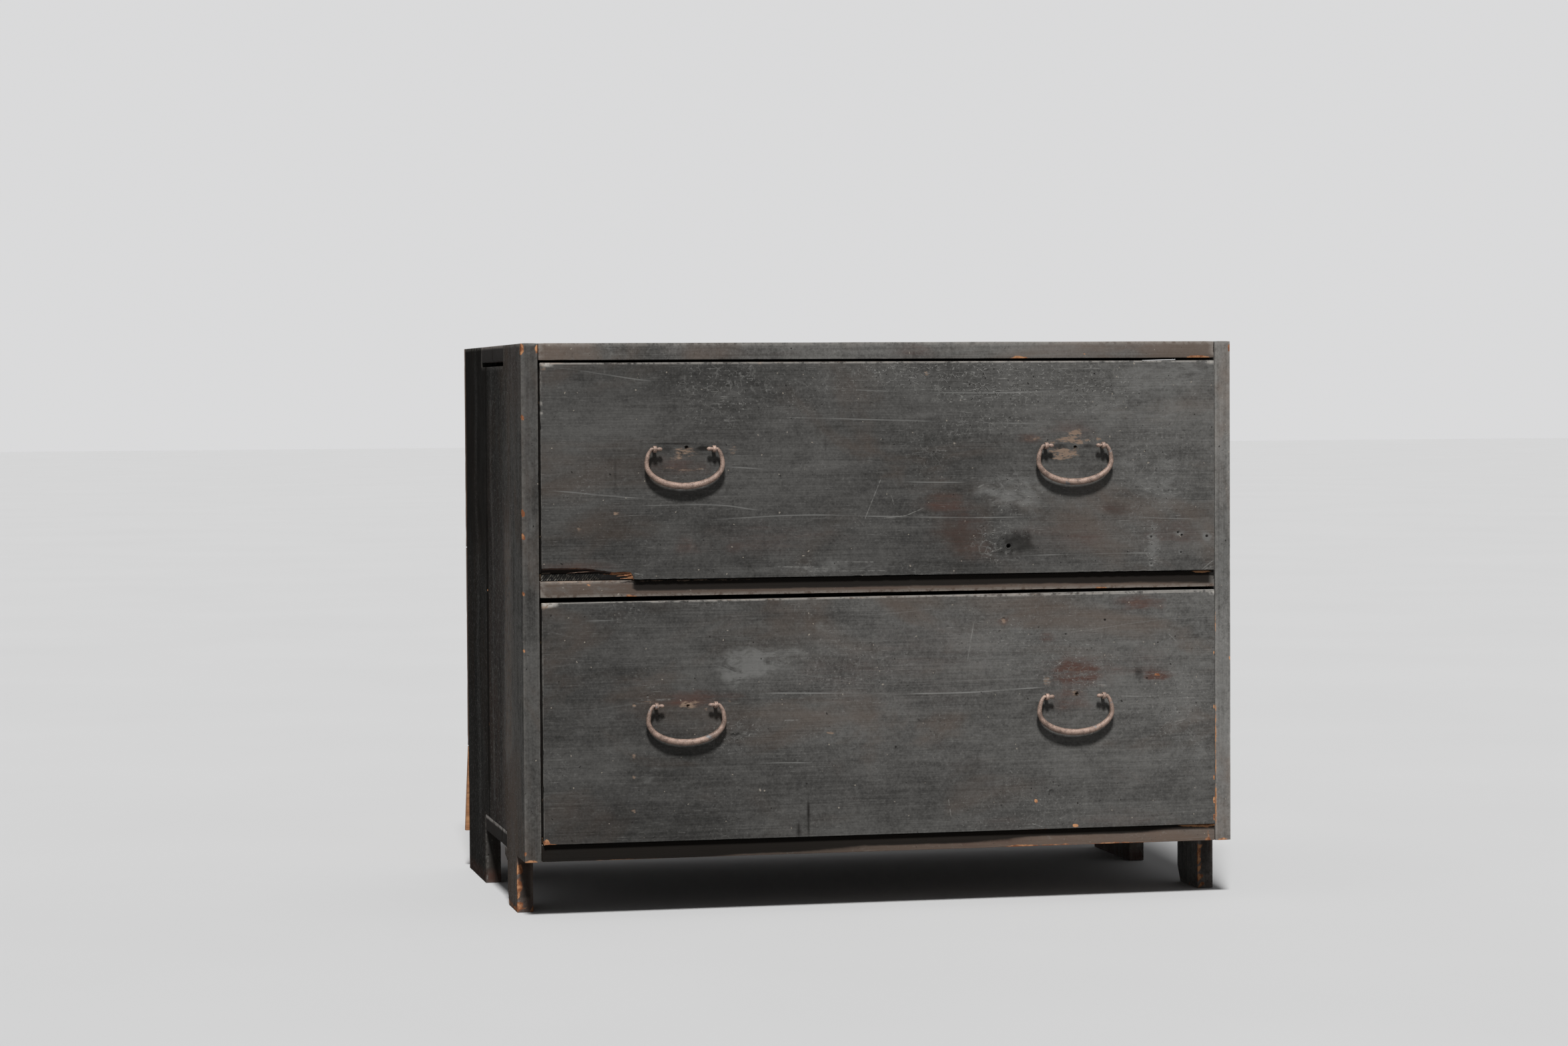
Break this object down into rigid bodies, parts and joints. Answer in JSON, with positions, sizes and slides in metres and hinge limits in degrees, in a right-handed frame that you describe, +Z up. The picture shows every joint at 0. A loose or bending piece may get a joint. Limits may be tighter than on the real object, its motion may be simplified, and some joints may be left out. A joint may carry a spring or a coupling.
{
  "type": "chest of drawers",
  "caption": "Low wooden chest of drawers on board feet, with wide drawers one above the other and swinging iron bail handles.",
  "frame": {"origin": "centre of the bounding box at floor level, between the four feet", "axes": "+X to the right as seen from the front, +Y to the back, +Z up; the drawers open towards -Y"},
  "size_m": [0.91, 0.5488, 0.7],
  "materials": {
    "lacquered_case": "thin black lacquer wiped on softwood, worn through along the edges",
    "lacquered_front": "thin black lacquer over horizontal softwood grain, rubbed reddish brown in places",
    "bare_cedar": "planed bare softwood, darkened by age",
    "bare_back": "raw orange-brown softwood",
    "rusted_iron": "hand-forged iron, pitted and rusty brown",
    "bamboo": "split bamboo pegs"
  },
  "bodies": {
    "case": {"left_side_front_board": "lacquered_case", "left_side_rear_board": "lacquered_case", "right_side_front_board": "lacquered_case", "right_side_rear_board": "lacquered_case", "top_front_board": "lacquered_case", "top_rear_board": "lacquered_case", "bottom_front_board": "lacquered_case", "bottom_rear_board": "lacquered_case", "middle_rail": "lacquered_case", "middle_rear_rail": "bare_cedar", "left_runner": "bare_cedar", "right_runner": "bare_cedar", "dust_board": "bare_cedar", "lower_back_board": "bare_back", "middle_back_board": "bare_back", "upper_back_board": "bare_back", "left_back_nail_1": "rusted_iron", "left_back_nail_2": "rusted_iron", "left_back_nail_3": "rusted_iron", "left_back_nail_4": "rusted_iron", "left_back_nail_5": "rusted_iron", "left_back_nail_6": "rusted_iron", "right_back_nail_1": "rusted_iron", "right_back_nail_2": "rusted_iron", "right_back_nail_3": "rusted_iron", "right_back_nail_4": "rusted_iron", "right_back_nail_5": "rusted_iron", "right_back_nail_6": "rusted_iron"},
    "upper_drawer": {"upper_drawer_front": "lacquered_front", "upper_drawer_left_side": "bare_cedar", "upper_drawer_right_side": "bare_cedar", "upper_drawer_back": "bare_cedar", "upper_drawer_bottom": "bare_cedar", "upper_drawer_left_lower_peg": "bamboo", "upper_drawer_left_upper_peg": "bamboo", "upper_drawer_right_lower_peg": "bamboo", "upper_drawer_right_upper_peg": "bamboo", "upper_drawer_left_handle_left_pin": "rusted_iron", "upper_drawer_left_handle_right_pin": "rusted_iron", "upper_drawer_right_handle_left_pin": "rusted_iron", "upper_drawer_right_handle_right_pin": "rusted_iron"},
    "lower_drawer": {"lower_drawer_front": "lacquered_front", "lower_drawer_left_side": "bare_cedar", "lower_drawer_right_side": "bare_cedar", "lower_drawer_back": "bare_cedar", "lower_drawer_bottom": "bare_cedar", "lower_drawer_left_lower_peg": "bamboo", "lower_drawer_left_upper_peg": "bamboo", "lower_drawer_right_lower_peg": "bamboo", "lower_drawer_right_upper_peg": "bamboo", "lower_drawer_left_handle_left_pin": "rusted_iron", "lower_drawer_left_handle_right_pin": "rusted_iron", "lower_drawer_right_handle_left_pin": "rusted_iron", "lower_drawer_right_handle_right_pin": "rusted_iron"},
    "upper_left_bail": {"upper_drawer_left_bail": "rusted_iron"},
    "upper_right_bail": {"upper_drawer_right_bail": "rusted_iron"},
    "lower_left_bail": {"lower_drawer_left_bail": "rusted_iron"},
    "lower_right_bail": {"lower_drawer_right_bail": "rusted_iron"}
  },
  "joints": [
    {"name": "upper_drawer_slide", "type": "slide", "parent": "case", "child": "upper_drawer", "axis": [0, -1, 0], "range_m": [0, 0.4]},
    {"name": "lower_drawer_slide", "type": "slide", "parent": "case", "child": "lower_drawer", "axis": [0, -1, 0], "range_m": [0, 0.4]},
    {"name": "upper_left_bail_swing", "type": "hinge", "parent": "upper_drawer", "child": "upper_left_bail", "pos_m": [-0.252, -0.2696, 0.5705], "axis": [-1, 0, 0], "range_deg": [-6, 186]},
    {"name": "upper_right_bail_swing", "type": "hinge", "parent": "upper_drawer", "child": "upper_right_bail", "pos_m": [0.242, -0.2696, 0.5705], "axis": [-1, 0, 0], "range_deg": [-6, 186]},
    {"name": "lower_left_bail_swing", "type": "hinge", "parent": "lower_drawer", "child": "lower_left_bail", "pos_m": [-0.252, -0.2696, 0.258], "axis": [-1, 0, 0], "range_deg": [-6, 186]},
    {"name": "lower_right_bail_swing", "type": "hinge", "parent": "lower_drawer", "child": "lower_right_bail", "pos_m": [0.242, -0.2696, 0.258], "axis": [-1, 0, 0], "range_deg": [-6, 186]}
  ]
}
